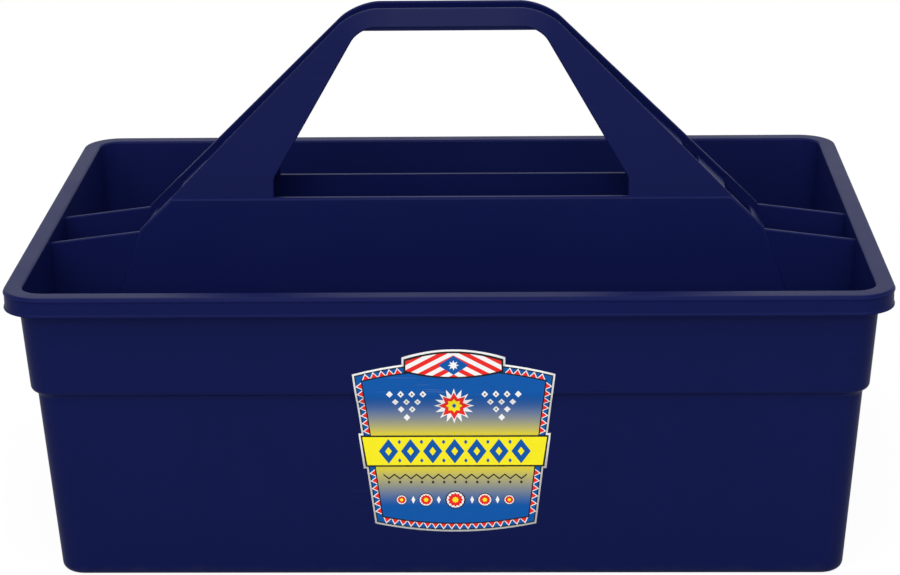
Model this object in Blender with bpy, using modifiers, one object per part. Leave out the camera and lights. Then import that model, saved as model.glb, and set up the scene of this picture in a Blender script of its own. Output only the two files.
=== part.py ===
"""Grooming tote: an open moulded box with a hollow centre block, an arched handle and end dividers.

Sizes are millimetres and become metres as each mesh is made. +X runs along the tote, +Y to its back and
+Z up, and the origin is under the middle of the floor. The real tote is one moulding, which is divided
here into its natural zones, each a piece of its own that seats on its neighbours with a hairline gap.
"""

import math

import bmesh
import bpy
from mathutils import Matrix, Vector

METRES = 0.001
SEAT = 0.3
ARC_ERROR = 0.05
SHARP_ANGLE = math.radians(35)

# Rim and walls of the tub
RIM_LENGTH = 445.0
RIM_WIDTH = 304.0
RIM_HEIGHT = 158.0
LIP_DEPTH = 9.5
LIP_THICKNESS = 2.4
FLANGE_THICKNESS = 2.5
FLOOR_LENGTH = 405.2
WALL = 2.7
WALL_DRAFT = math.tan(math.radians(3.7))
STEP_HEIGHT = 102.5
STEP_DROP = 2.0
STEP_OUT = 2.75
BOTTOM_EDGE = 4.0
WALL_CORNER = 12.7
CORNER_SEGMENTS = 8

# Centre block, which stands off centre so that the back compartment is the wider one
DIVIDER_Y = -23.45
LEDGE_HEIGHT = 178.5
LEDGE_HALF_WIDTH = 24.2
PANEL_DRAFT = math.tan(math.radians(2.0))
PANEL_THICKNESS = 3.2
PANEL_EDGE = 1.4
SHOULDER_X = 165.2
SHOULDER_HEIGHT = 160.5
LEG_LINE = SHOULDER_X + SHOULDER_HEIGHT + 0.6
END_WALL_DRAFT = 0.354
SLOT_HALF_LENGTH = 192.0
SLOT_CORNER = 6.0
POCKET_FLOOR_HEIGHT = 72.0

# Divider wings
WING_FACE = 24.3
WING_THICKNESS = 2.6
WING_INNER_HEIGHT = 160.3
WING_OUTER_HEIGHT = 154.3
WING_TIP_HEIGHT = 57.0
WING_EDGE = 0.8

# Handle
HANDLE_HEIGHT = 276.8
ARCH_THICKNESS = 2.5
ARCH_FACE = 22.8
ARCH_DRAFT = 0.131
ARCH_CORNER = 31.0
ARCH_EDGE = 0.8
GRIP_HALF_LENGTH = 37.0
HAND_HOLE_TOP = 265.1
HAND_HOLE_TOP_X = 48.2
HAND_HOLE_SIDE_X = 93.4
HAND_HOLE_SIDE_HEIGHT = 188.0
HAND_HOLE_TOP_CORNER = 5.5
HAND_HOLE_SIDE_CORNER = 7.0
WEB_THICKNESS = 2.5
WEB_START_X = 44.0
WEB_BEND = (118.0, 203.6)
WEB_TOE = (163.8, 157.8)
WEB_END_HEIGHT = 150.0
WINDOWS = ((123.6, 131.6), (146.4, 161.2))
WINDOW_MARGIN = 2.0

# Label
LABEL_CENTRE_X = 2.9
LABEL_HALF_WIDTH = 50.8
LABEL_SHOULDER_HEIGHT = 113.8
LABEL_CREST_HALF_WIDTH = 26.0
LABEL_CREST_FOOT = 119.0
LABEL_CREST_EDGE = 122.9
LABEL_CREST_TOP = 127.1
LABEL_BASE_HALF_WIDTH = 40.9
LABEL_BASE_HEIGHT = 29.7
LABEL_BASE_MIDDLE = 25.5
LABEL_THICKNESS = 0.4
LABEL_STAND_OFF = 0.5

NAVY = (0.006, 0.010, 0.075, 1.0)
LABEL_BLUE = (0.010, 0.110, 0.380, 1.0)


def wall_face(z):
    """Half length of the tub at a height, on the outer face of its walls."""
    climb = min(max((z - STEP_HEIGHT + STEP_DROP) / STEP_DROP, 0.0), 1.0)
    return FLOOR_LENGTH / 2 + WALL_DRAFT * z + STEP_OUT * climb


def panel_face(z):
    """Distance of a block panel's outer face from the divider plane at a height."""
    return LEDGE_HALF_WIDTH + PANEL_DRAFT * (LEDGE_HEIGHT - z)


def arch_face(z):
    """Distance of a handle plate's outer face from the divider plane at a height."""
    return ARCH_FACE - ARCH_DRAFT * (z - LEDGE_HEIGHT)


def end_wall_x(z):
    """Distance of the centre block's end from the middle of the tote at a height."""
    return SHOULDER_X + END_WALL_DRAFT * (SHOULDER_HEIGHT - z)


def inner_half_width(z):
    """Half of the free width inside the centre block or between the handle's plates at a height."""
    if z >= LEDGE_HEIGHT:
        return arch_face(z) - ARCH_THICKNESS
    return min(arch_face(LEDGE_HEIGHT) - ARCH_THICKNESS + PANEL_DRAFT * (LEDGE_HEIGHT - z),
               panel_face(z) - PANEL_THICKNESS)


def rounded(corners, closed=True):
    """Outline through (a, b, radius) corners, with each radius drawn as an arc."""
    outline = []
    last = len(corners) - 1
    for i, (a, b, radius) in enumerate(corners):
        corner = Vector((a, b))
        if radius == 0 or (not closed and i in (0, last)):
            outline.append(corner)
            continue
        before = (Vector(corners[i - 1][:2]) - corner).normalized()
        after = (Vector(corners[(i + 1) % len(corners)][:2]) - corner).normalized()
        half_angle = before.angle(after) / 2
        centre = corner + (before + after).normalized() * (radius / math.sin(half_angle))
        spoke = corner + before * (radius / math.tan(half_angle)) - centre
        turn = math.copysign(math.pi - 2 * half_angle, after.cross(before))
        largest_step = 2 * math.acos(1 - ARC_ERROR / radius)
        steps = max(2, math.ceil(abs(turn) / largest_step))
        for k in range(steps + 1):
            outline.append(centre + Matrix.Rotation(turn * k / steps, 2) @ spoke)
    return outline


def mirrored(half):
    """Closed outline of (a, b, radius) corners at +a, run from one end to the other, and their mirror."""
    return rounded(half + [(-a, b, radius) for a, b, radius in reversed(half)])


# Turns a flat sheet's own X, Y and thickness directions into the tote's
STANDING_LENGTHWISE = Matrix(((1, 0, 0, 0), (0, 0, -1, 0), (0, 1, 0, 0), (0, 0, 0, 1)))
STANDING_CROSSWISE = Matrix(((0, 0, 1, 0), (1, 0, 0, 0), (0, 1, 0, 0), (0, 0, 0, 1)))
LYING = Matrix.Identity(4)


def sheet(outline, thickness, stance, offset=(0.0, 0.0, 0.0)):
    """Mesh in metres of a filled outline with a thickness, centred on its own plane."""
    curve = bpy.data.curves.new("outline", "CURVE")
    curve.dimensions = "2D"
    curve.fill_mode = "BOTH"
    curve.extrude = thickness / 2 * METRES
    spline = curve.splines.new("POLY")
    spline.points.add(len(outline) - 1)
    for point, (a, b) in zip(spline.points, outline):
        point.co = (a * METRES, b * METRES, 0.0, 1.0)
    spline.use_cyclic_u = True
    guide = bpy.data.objects.new("outline", curve)
    bpy.context.scene.collection.objects.link(guide)
    evaluated = guide.evaluated_get(bpy.context.evaluated_depsgraph_get())
    mesh = bpy.data.meshes.new_from_object(evaluated)
    bpy.data.objects.remove(guide)
    bpy.data.curves.remove(curve)
    bm = bmesh.new()
    bm.from_mesh(mesh)
    bmesh.ops.remove_doubles(bm, verts=bm.verts, dist=0.01 * METRES)
    bmesh.ops.recalc_face_normals(bm, faces=bm.faces)
    bm.to_mesh(mesh)
    bm.free()
    mesh.transform(Matrix.Translation(Vector(offset) * METRES) @ stance)
    return mesh


def leaning_plate(outline, thickness, face_at_floor, draft, side):
    """Plate of an XZ outline whose outer face leans towards the divider plane as it rises."""
    mesh = sheet(outline, thickness, STANDING_LENGTHWISE)
    shear = Matrix.Identity(4)
    shear[1][2] = -side * draft
    shear[1][3] = side * (face_at_floor - thickness / 2) * METRES
    mesh.transform(shear)
    return mesh


def fit_inside(mesh):
    """Moves the mesh's sides out or in to a seat's gap from the plates that it stands between."""
    bm = bmesh.new()
    bm.from_mesh(mesh)
    bmesh.ops.bisect_plane(bm, geom=bm.verts[:] + bm.edges[:] + bm.faces[:], dist=1e-6,
                           plane_co=(0, 0, LEDGE_HEIGHT * METRES), plane_no=(0, 0, 1))
    for vert in bm.verts:
        reach = (inner_half_width(vert.co.z / METRES) - SEAT) * METRES
        vert.co.y = math.copysign(reach, vert.co.y)
    bm.to_mesh(mesh)
    bm.free()


def loft(rings):
    """Closed mesh through rings of (x, y, z) points with equal counts, with its two end rings filled."""
    bm = bmesh.new()
    loops = [[bm.verts.new(Vector(point) * METRES) for point in ring] for ring in rings]
    for lower, upper in zip(loops, loops[1:]):
        for i, vert in enumerate(lower):
            bm.faces.new((lower[i - 1], vert, upper[i], upper[i - 1]))
    bm.faces.new(loops[0])
    bm.faces.new(reversed(loops[-1]))
    bmesh.ops.recalc_face_normals(bm, faces=bm.faces)
    mesh = bpy.data.meshes.new("loft")
    bm.to_mesh(mesh)
    bm.free()
    return mesh


def material(name, colour, roughness):
    """Plastic finish of one piece."""
    finish = bpy.data.materials.new(name)
    finish.use_nodes = True
    shader = finish.node_tree.nodes["Principled BSDF"]
    shader.inputs["Base Color"].default_value = colour
    shader.inputs["Roughness"].default_value = roughness
    shader.inputs["Metallic"].default_value = 0.0
    return finish


def add_part(name, mesh, parent, colour=NAVY, roughness=0.4):
    """Named object of one piece, with its own material."""
    mesh.name = name
    mesh.materials.clear()
    mesh.materials.append(material(name, colour, roughness))
    part = bpy.data.objects.new(name, mesh)
    part.parent = parent
    bpy.data.collections["grooming_tote"].objects.link(part)
    return part


def add_cutter(name, mesh, parent):
    """Object that only shapes a part."""
    cutter = bpy.data.objects.new(name, mesh)
    cutter.parent = parent
    cutter.hide_render = True
    cutter.display_type = "WIRE"
    bpy.data.collections["cutters"].objects.link(cutter)
    return cutter


def combine(part, tool, operation):
    """Boolean of a part with a tool object."""
    modifier = part.modifiers.new(tool.name, "BOOLEAN")
    modifier.object = tool
    modifier.operation = operation
    modifier.solver = "EXACT"


def round_edges(part, radius, chosen):
    """Rounds the sharp edges whose middle, in the tote's millimetres, is chosen."""
    bm = bmesh.new()
    bm.from_mesh(part.data)
    weights = bm.edges.layers.float.new("bevel_weight_edge")
    for edge in bm.edges:
        middle = (edge.verts[0].co + edge.verts[1].co) / 2 / METRES
        if edge.calc_face_angle(0.0) > SHARP_ANGLE and chosen(middle):
            edge[weights] = 1.0
    bm.to_mesh(part.data)
    bm.free()
    bevel = part.modifiers.new("rounded_edges", "BEVEL")
    bevel.limit_method = "WEIGHT"
    bevel.width = radius * METRES
    bevel.segments = 2


def rounded_rectangle(half_length, half_width, radius, z):
    """Ring of points round a rectangle with rounded corners, at one height."""
    ring = []
    for quarter, (sx, sy) in enumerate(((1, 1), (-1, 1), (-1, -1), (1, -1))):
        for k in range(CORNER_SEGMENTS + 1):
            angle = math.pi / 2 * (quarter + k / CORNER_SEGMENTS)
            ring.append((sx * (half_length - radius) + radius * math.cos(angle),
                         sy * (half_width - radius) + radius * math.sin(angle), z))
    return ring


def tub_mesh():
    """Tapered, stepped walls with a turned-down rim, as one section carried round the tub."""
    flange_underside = RIM_HEIGHT - FLANGE_THICKNESS
    lip_bottom = RIM_HEIGHT - LIP_DEPTH
    rim = RIM_LENGTH / 2
    lip_inner = rim - LIP_THICKNESS
    step_foot = STEP_HEIGHT - STEP_DROP
    floor_middle = FLOOR_LENGTH / 2 - 2 * BOTTOM_EDGE
    section = rounded([
        (floor_middle, 0.0, 0.0),
        (wall_face(0.0), 0.0, BOTTOM_EDGE),
        (wall_face(step_foot), step_foot, 1.0),
        (wall_face(STEP_HEIGHT), STEP_HEIGHT, 1.0),
        (wall_face(flange_underside), flange_underside, 1.0),
        (lip_inner, flange_underside, 0.8),
        (lip_inner, lip_bottom, 0.8),
        (rim, lip_bottom, 1.0),
        (rim, RIM_HEIGHT, 2.4),
        (wall_face(RIM_HEIGHT) - WALL, RIM_HEIGHT, 1.2),
        (wall_face(STEP_HEIGHT) - WALL, STEP_HEIGHT, 1.0),
        (wall_face(step_foot) - WALL, step_foot, 1.0),
        (wall_face(WALL) - WALL, WALL, BOTTOM_EDGE - WALL / 2),
        (floor_middle, WALL, 0.0),
    ], closed=False)
    narrower = (RIM_LENGTH - RIM_WIDTH) / 2
    rings = []
    for half_length, z in section:
        radius = WALL_CORNER + half_length - wall_face(z)
        rings.append(rounded_rectangle(half_length, half_length - narrower, radius, z))
    return loft(rings)


def add_tub(tote, block):
    """Walls, rim and floor, with the floor open under the hollow centre block."""
    tub = add_part("tub", tub_mesh(), tote)
    half_width = panel_face(WALL) - PANEL_THICKNESS
    slot = mirrored([(SLOT_HALF_LENGTH, -half_width, SLOT_CORNER), (SLOT_HALF_LENGTH, half_width, SLOT_CORNER)])
    combine(tub, add_cutter("floor_slot", sheet(slot, 4 * WALL, LYING), block), "DIFFERENCE")


def add_panel(name, side, block):
    """One long wall of the centre block, from the floor up to the ledge under the handle."""
    foot = WALL + SEAT
    end_clearance = WALL + SEAT
    draft_gap = wall_face(0.0) - end_clearance
    corner_height = (end_wall_x(0.0) - draft_gap) / (WALL_DRAFT + END_WALL_DRAFT)
    outline = mirrored([
        (wall_face(foot) - end_clearance, foot, BOTTOM_EDGE),
        (wall_face(corner_height) - end_clearance, corner_height, 0.0),
        (SHOULDER_X, SHOULDER_HEIGHT, 0.0),
        (LEG_LINE - LEDGE_HEIGHT, LEDGE_HEIGHT, 0.0),
    ])
    mesh = leaning_plate(outline, PANEL_THICKNESS, panel_face(0.0), PANEL_DRAFT, side)
    panel = add_part(name, mesh, block)
    round_edges(panel, PANEL_EDGE, lambda middle: middle.z > corner_height and is_outer(middle, side, panel_face))


def is_outer(middle, side, face):
    """Whether an edge's middle is on a plate's outer face."""
    return abs(middle.y - side * face(middle.z)) < 0.1


def add_wing(name, end, side, block):
    """Thin divider from the centre block to the tub's end wall."""
    step_foot = STEP_HEIGHT - STEP_DROP
    clearance = WALL + SEAT
    inner_gap = SEAT * math.hypot(1.0, END_WALL_DRAFT)
    outline = rounded([
        (end_wall_x(WING_INNER_HEIGHT) + inner_gap, WING_INNER_HEIGHT, 0.0),
        (end_wall_x(WING_TIP_HEIGHT) + inner_gap, WING_TIP_HEIGHT, 0.0),
        (wall_face(WING_TIP_HEIGHT) - clearance, WING_TIP_HEIGHT, 0.0),
        (wall_face(step_foot) - clearance, step_foot, 1.0),
        (wall_face(STEP_HEIGHT) - clearance, STEP_HEIGHT, 1.0),
        (wall_face(WING_OUTER_HEIGHT) - clearance, WING_OUTER_HEIGHT, 0.0),
    ])
    outline = [(end * x, z) for x, z in outline]
    centre_y = side * (WING_FACE - WING_THICKNESS / 2)
    mesh = sheet(outline, WING_THICKNESS, STANDING_LENGTHWISE, offset=(0.0, centre_y, 0.0))
    wing = add_part(name, mesh, block)
    half_thickness = WING_THICKNESS / 2
    round_edges(wing, WING_EDGE, lambda middle: middle.z > WING_OUTER_HEIGHT and
                abs(abs(middle.y - centre_y) - half_thickness) < 0.1)


def add_pocket(name, end, block):
    """Sloping end wall of the centre block, and the small floor between it and the tub's end wall."""
    underside = POCKET_FLOOR_HEIGHT - WALL
    slope = math.hypot(1.0, END_WALL_DRAFT)
    back_off = WALL * slope
    top = WEB_END_HEIGHT - SEAT
    wall = [
        (end_wall_x(top), top),
        (end_wall_x(underside), underside),
        (end_wall_x(underside) - back_off, underside),
        (end_wall_x(top) - back_off, top),
    ]
    mesh = sheet([(end * x, z) for x, z in wall], 2 * LEDGE_HALF_WIDTH, STANDING_LENGTHWISE)
    fit_inside(mesh)
    pocket = add_part(name, mesh, block)
    overlap = WALL / 2
    clearance = WALL + SEAT
    floor = [
        (end_wall_x(underside) - overlap, underside),
        (wall_face(underside) - clearance, underside),
        (wall_face(POCKET_FLOOR_HEIGHT) - clearance, POCKET_FLOOR_HEIGHT),
        (end_wall_x(POCKET_FLOOR_HEIGHT) - overlap, POCKET_FLOOR_HEIGHT),
    ]
    width = 2 * (WING_FACE - WING_THICKNESS - SEAT)
    shelf = sheet([(end * x, z) for x, z in floor], width, STANDING_LENGTHWISE)
    combine(pocket, add_cutter(name + "_floor", shelf, block), "UNION")


def add_arch(name, side, block):
    """Leaning plate of the handle: two legs and one side of the grip, round the hand hole."""
    foot = LEDGE_HEIGHT + SEAT
    corner_x = GRIP_HALF_LENGTH + ARCH_CORNER * math.tan(math.radians(22.5))
    outline = mirrored([
        (HAND_HOLE_TOP_X, HAND_HOLE_TOP, HAND_HOLE_TOP_CORNER),
        (HAND_HOLE_SIDE_X, HAND_HOLE_SIDE_HEIGHT, HAND_HOLE_SIDE_CORNER),
        (HAND_HOLE_SIDE_X, foot, 0.0),
        (LEG_LINE - foot, foot, 0.0),
        (corner_x, HANDLE_HEIGHT, ARCH_CORNER),
    ])
    face_at_floor = arch_face(0.0)
    mesh = leaning_plate(outline, ARCH_THICKNESS, face_at_floor, ARCH_DRAFT, side)
    arch = add_part(name, mesh, block)
    round_edges(arch, ARCH_EDGE, lambda middle: middle.z > foot + 1.0)


def add_web(name, end, block):
    """Sloping web that closes the top of one leg between the handle's plates, with its two windows."""
    start_x = WEB_START_X + SEAT
    end_x = end_wall_x(WEB_END_HEIGHT)
    end_back_off = WEB_THICKNESS * math.hypot(1.0, END_WALL_DRAFT)
    top = [
        (start_x, HAND_HOLE_TOP + WEB_THICKNESS),
        WEB_BEND,
        WEB_TOE,
        (end_x, WEB_END_HEIGHT),
    ]
    underside = [offset_below(top, i, WEB_THICKNESS) for i in range(1, len(top) - 1)]
    outline = top + [(end_x - end_back_off, WEB_END_HEIGHT)] + underside[::-1] + [(start_x, HAND_HOLE_TOP)]
    mesh = sheet([(end * x, z) for x, z in outline], 2 * LEDGE_HALF_WIDTH, STANDING_LENGTHWISE)
    fit_inside(mesh)
    web = add_part(name, mesh, block)
    for number, (near, far) in enumerate(WINDOWS, 1):
        middle = (near + far) / 2
        height = LEG_LINE - middle
        half_width = inner_half_width(height) - WINDOW_MARGIN
        window = [(end * near, -half_width), (end * far, -half_width), (end * far, half_width), (end * near, half_width)]
        mesh = sheet(window, 2 * ARCH_CORNER, LYING, offset=(0.0, 0.0, height))
        combine(web, add_cutter(f"{name}_window_{number}", mesh, block), "DIFFERENCE")


def offset_below(line, i, distance):
    """Point of a falling line moved square to it, down and towards the middle of the tote."""
    before = Vector(line[i]) - Vector(line[i - 1])
    after = Vector(line[i + 1]) - Vector(line[i])
    square = (before.normalized() + after.normalized()).normalized()
    half_turn = before.angle(after) / 2
    return Vector(line[i]) + Vector((square.y, -square.x)) * (distance / math.cos(half_turn))


def add_grip_floor(block):
    """Strip that joins the handle's two plates along the grip, low between them."""
    middle = HAND_HOLE_TOP + WEB_THICKNESS / 2
    outline = [(-WEB_START_X, -1.0), (WEB_START_X, -1.0), (WEB_START_X, 1.0), (-WEB_START_X, 1.0)]
    mesh = sheet(outline, WEB_THICKNESS, LYING, offset=(0.0, 0.0, middle))
    fit_inside(mesh)
    add_part("grip_floor", mesh, block)


def label_outline():
    """Shield with a low arched crest."""
    rise = LABEL_CREST_TOP - LABEL_CREST_EDGE
    radius = (LABEL_CREST_HALF_WIDTH ** 2 + rise ** 2) / (2 * rise)
    half_angle = math.asin(LABEL_CREST_HALF_WIDTH / radius)
    steps = 6
    crest = []
    for k in range(steps + 1):
        angle = half_angle * (1 - k / steps)
        crest.append((radius * math.sin(angle), LABEL_CREST_TOP - radius * (1 - math.cos(angle)), 0.0))
    half = [
        (LABEL_BASE_HALF_WIDTH, LABEL_BASE_HEIGHT, 1.5),
        (LABEL_HALF_WIDTH, LABEL_SHOULDER_HEIGHT, 1.0),
        (LABEL_CREST_HALF_WIDTH, LABEL_CREST_FOOT, 0.0),
    ] + crest[:-1]
    left = [(-x, z, radius) for x, z, radius in reversed(half)]
    return rounded([(0.0, LABEL_BASE_MIDDLE, 0.0)] + half + crest[-1:] + left)


def add_label(tote):
    """Thin printed skin that follows the front wall over its faint step."""
    narrower = (RIM_LENGTH - RIM_WIDTH) / 2
    heights = (LABEL_BASE_MIDDLE - 2.0, STEP_HEIGHT - STEP_DROP, STEP_HEIGHT, LABEL_CREST_TOP + 2.0)
    back = [(-(wall_face(z) - narrower + LABEL_STAND_OFF), z) for z in heights]
    front = [(y - LABEL_THICKNESS, z) for y, z in reversed(back)]
    skin = sheet(back + front, 2 * LABEL_HALF_WIDTH + 4.0, STANDING_CROSSWISE, offset=(LABEL_CENTRE_X, 0.0, 0.0))
    label = add_part("label", skin, tote, LABEL_BLUE, 0.3)
    shield = sheet(label_outline(), RIM_WIDTH, STANDING_LENGTHWISE, offset=(LABEL_CENTRE_X, -RIM_WIDTH / 2, 0.0))
    combine(label, add_cutter("label_shield", shield, tote), "INTERSECT")


def clear_scene():
    """Removes whatever the scene holds."""
    for item in list(bpy.data.objects):
        bpy.data.objects.remove(item)
    for name in ("grooming_tote", "cutters"):
        collection = bpy.data.collections.new(name)
        bpy.context.scene.collection.children.link(collection)


def add_empty(name, y, parent=None):
    """Empty that carries a group of pieces."""
    empty = bpy.data.objects.new(name, None)
    empty.location = (0.0, y * METRES, 0.0)
    empty.parent = parent
    bpy.data.collections["grooming_tote"].objects.link(empty)
    return empty


def main():
    clear_scene()
    tote = add_empty("tote", 0.0)
    block = add_empty("centre_block", DIVIDER_Y, tote)
    add_tub(tote, block)
    for side, place in ((-1, "front"), (1, "back")):
        add_panel(place + "_panel", side, block)
        add_arch(place + "_arch", side, block)
        for end, hand in ((-1, "left"), (1, "right")):
            add_wing(f"{place}_{hand}_wing", end, side, block)
    for end, hand in ((-1, "left"), (1, "right")):
        add_pocket(hand + "_pocket", end, block)
        add_web(hand + "_leg_web", end, block)
    add_grip_floor(block)
    add_label(tote)


main()
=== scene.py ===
"""Dresses the grooming tote's frame: moulded plastic shell, divider with its handle, and a printed label.

Laid out as an add-on and run as a script. Each operator models one piece, or one group of like pieces,
over the frame's own solids. Sizes are metres. +X runs along the tote, +Y to its back and +Z up.
"""

import math

import bmesh
import bpy
from bpy.props import FloatProperty, FloatVectorProperty, IntProperty, PointerProperty
from mathutils import Matrix, Vector


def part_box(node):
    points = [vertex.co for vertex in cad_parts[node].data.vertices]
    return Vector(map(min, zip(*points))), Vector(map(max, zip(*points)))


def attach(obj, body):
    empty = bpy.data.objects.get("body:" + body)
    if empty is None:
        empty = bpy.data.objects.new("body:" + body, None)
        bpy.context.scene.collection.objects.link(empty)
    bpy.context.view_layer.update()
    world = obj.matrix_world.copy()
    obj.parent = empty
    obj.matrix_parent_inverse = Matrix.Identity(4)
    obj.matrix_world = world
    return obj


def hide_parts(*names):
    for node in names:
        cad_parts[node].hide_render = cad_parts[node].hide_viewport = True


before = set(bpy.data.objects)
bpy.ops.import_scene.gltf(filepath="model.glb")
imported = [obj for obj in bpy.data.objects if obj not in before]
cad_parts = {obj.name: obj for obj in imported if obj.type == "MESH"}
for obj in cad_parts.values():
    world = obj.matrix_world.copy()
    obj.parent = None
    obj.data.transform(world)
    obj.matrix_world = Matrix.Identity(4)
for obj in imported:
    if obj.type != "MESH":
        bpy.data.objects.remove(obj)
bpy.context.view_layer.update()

bl_info = {
    "name": "Grooming Tote",
    "version": (1, 0, 0),
    "blender": (4, 5, 0),
    "location": "View3D > Sidebar > Grooming Tote",
    "description": "Models a moulded carry tote with a divider, an arched handle and a label",
    "category": "Add Mesh",
}

MM = 0.001
TUB_LOW, TUB_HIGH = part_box("tub")
HANDLE_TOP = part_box("front_arch")[1].z

# Tub section
RIM_CORNER = 20.4 * MM
RIM_EDGE = 0.9 * MM
BEAD = 0.4 * MM
BEADS_BELOW_RIM = (1.0 * MM, 1.5 * MM, 2.1 * MM, 2.6 * MM)
BEADS_ABOVE_FOOT = (1.5 * MM, 1.0 * MM)
LIP_DEPTH = 10.2 * MM
LIP_THICKNESS = 2.4 * MM
LIP_FOOT_EDGE = 0.3 * MM
FLANGE_THICKNESS = 2.5 * MM
MOUTH_EDGE = 1.2 * MM
FLOOR_HALF_LENGTH = 202.6 * MM
WALL_DRAFT = math.tan(math.radians(3.7))
STEP_HEIGHT = 103.5 * MM
STEP_DROP = 2.0 * MM
STEP_OUT = 2.75 * MM
STEP_EDGE = 1.6 * MM
BOTTOM_EDGE = 4.0 * MM

# Centre block
DIVIDER_Y = -23.45 * MM
LEDGE_HEIGHT = 178.5 * MM
LEDGE_HALF_WIDTH = 24.2 * MM
PANEL_LEAN = math.radians(2.0)
PANEL_THICKNESS = 3.2 * MM
SHOULDER_X = 165.2 * MM
SHOULDER_HEIGHT = 160.5 * MM
LEG_LINE = 326.3 * MM
END_WALL_DRAFT = 0.354
SLOT_HALF_LENGTH = 192.0 * MM
SLOT_CORNER = 6.0 * MM
POCKET_FLOOR_HEIGHT = 72.0 * MM
POCKET_MARGIN = 1.5 * MM
POCKET_DISH = 0.4 * MM

# Wings
WING_FACE = 24.3 * MM
WING_THICKNESS = 2.6 * MM
WING_INNER_HEIGHT = 160.3 * MM
WING_OUTER_HEIGHT = 154.3 * MM
WING_TIP_HEIGHT = 54.0 * MM

# Handle
ARCH_FACE = 22.8 * MM
ARCH_LEAN = math.atan(0.131)
ARCH_THICKNESS = 2.5 * MM
ARCH_CORNER = 31.0 * MM
HAND_HOLE_TOP = 266.9 * MM
HAND_HOLE_SIDE_X = 93.4 * MM
HAND_HOLE_SIDE_HEIGHT = 188.0 * MM
HAND_HOLE_SLOPE = 0.587
HAND_HOLE_TOP_CORNER = 15.0 * MM
HAND_HOLE_SIDE_CORNER = 7.0 * MM
WEB_THICKNESS = 2.5 * MM
WEB_LINE = ((51.3 * MM, 267.3 * MM), (118.0 * MM, 203.6 * MM), (163.8 * MM, 157.8 * MM), (168.92 * MM, 150.0 * MM))
WEB_TOE = WEB_LINE[2][0]
WEB_ROUNDING = 1.2 * MM
WINDOWS = ((123.0 * MM, 132.0 * MM), (146.0 * MM, 160.4 * MM))
WINDOW_MARGIN = 2.0 * MM

# Seats and cutting tools
SINK = 0.8 * MM
OVERSHOOT = 5.0 * MM
TOOL_HALF_DEPTH = 20.0 * MM
NEAR = 0.02 * MM

# Finish of the plastic and the painted highlight that lightens the grip: starts and ends of the fades at the grip
GRIP_PAINTED_HIGHLIGHT = 0.0085
GRIP_HIGHLIGHT_HEIGHT = (259.0 * MM, 268.0 * MM)
GRIP_HIGHLIGHT_X = (56.0 * MM, 30.0 * MM)
GRIP_HIGHLIGHT_SIDE = (9.1 * MM, 9.8 * MM)
FOOT_WEAR_HEIGHT = (1.0 * MM, -4.0 * MM)
FOOT_WEAR_RAGGEDNESS = 9.0 * MM
SMOOTH_ANGLE = math.radians(32.0)

# Label, in millimetres on the front wall: x from the label's own centre line, and z
LABEL_CENTRE = 2.9
LABEL_LIFT = 0.2 * MM
LAYER_LIFT = 0.03 * MM
OUTLINE_STEP = 1.0
INK_STEP = 0.7
HEAVY_INK_STEP = 0.9
SIDE_X_AT_BASE = 41.2
SIDE_LEAN = 0.115
BASE_HEIGHT = 30.0
BASE_MIDDLE = 25.3
TOP_CORNER_HEIGHT = 114.4
TOP_MIDDLE = 121.5
CREST_HALF_WIDTH = 25.9
CREST_SIDE_HEIGHT = 123.6
CREST_TOP = 127.9
CREST_DIP = 111.2
CREST_DIP_SIDE = 114.6
BAND_LOW = 61.3
BAND_HIGH = 80.8
BAND_EAR = 1.6
BORDER_WIDTH = 5.15
SIDE_SHARE = 0.9
BRIDGE_FOOT = 93.0
BRIDGE_HEAD = 104.5
BRIDGE_STEPS = 10
CREST_MIDDLE = 119.4
SUNBURST_HEIGHT = 96.6
TRELLIS_TOP = 103.6
TRELLIS_PITCH = 5.6
TRELLIS_DROP = 4.6
TRELLIS_START = 15.5
BAND_MIDDLE = 71.0
BAND_DIAMOND_PITCH = 11.2
ZIGZAG_HEIGHT = 57.2
DOT_HEIGHT = 53.6
FLOWER_HEIGHT = 43.6
CHEVRON_SLOPE = 0.55
CHEVRON_PITCH = 5.2 * MM
GOLD_FADE_IN = (40.0 * MM, 61.0 * MM)
GOLD_FADE_IN_POWER = 1.5
GOLD_FADE_OUT = (104.0 * MM, 81.0 * MM)
GOLD_FADE_OUT_POWER = 2.5

# Stage: greys, strengths and soft lamps, each with its place, size and power
FLOOR_SIZE = 30.0
FLOOR_GREY = (0.5, 0.5, 0.5, 1.0)
FLOOR_GLOW = 1.10
FLOOR_SEEN_SHARE = 0.85
FLOOR_MIRRORED_SHARE = 0.25
SURROUND_LIGHT = 0.68
LAMP_TARGET = (0.0, 0.0, 0.1)
LAMPS = (("top_softbox", (0.0, -0.7, 2.1), (2.4, 1.8), 18.0),
         ("front_softbox", (-0.3, -2.6, 1.4), (2.2, 1.2), 35.0))

# Camera, from the photograph's own perspective
CAMERA_PLACE = (0.036555, -1.391997, 0.575481)
CAMERA_YAW = 0.0279
CAMERA_PITCH = 0.3208
CAMERA_ROLL = -0.0126
CAMERA_LENS = 106.592


class ToteSizes(bpy.types.PropertyGroup):
    """Sizes of the moulding that a user would change."""

    wall: FloatProperty(name="Wall", description="Thickness of the tub's walls and floor",
                        default=2.7 * MM, min=1.0 * MM, subtype="DISTANCE", unit="LENGTH")
    edge: FloatProperty(name="Edge", description="Radius of the moulding's free edges",
                        default=0.7 * MM, min=0.1 * MM, subtype="DISTANCE", unit="LENGTH")
    corner_steps: IntProperty(name="Corner steps", description="Faces round each upright corner",
                              default=16, min=4, max=64)


def colour_property(name, description, *rgb):
    """Colour that a user can change, with its linear default."""
    return FloatVectorProperty(name=name, description=description, subtype="COLOR", size=4,
                               default=(*rgb, 1.0), min=0.0, max=1.0)


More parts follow.
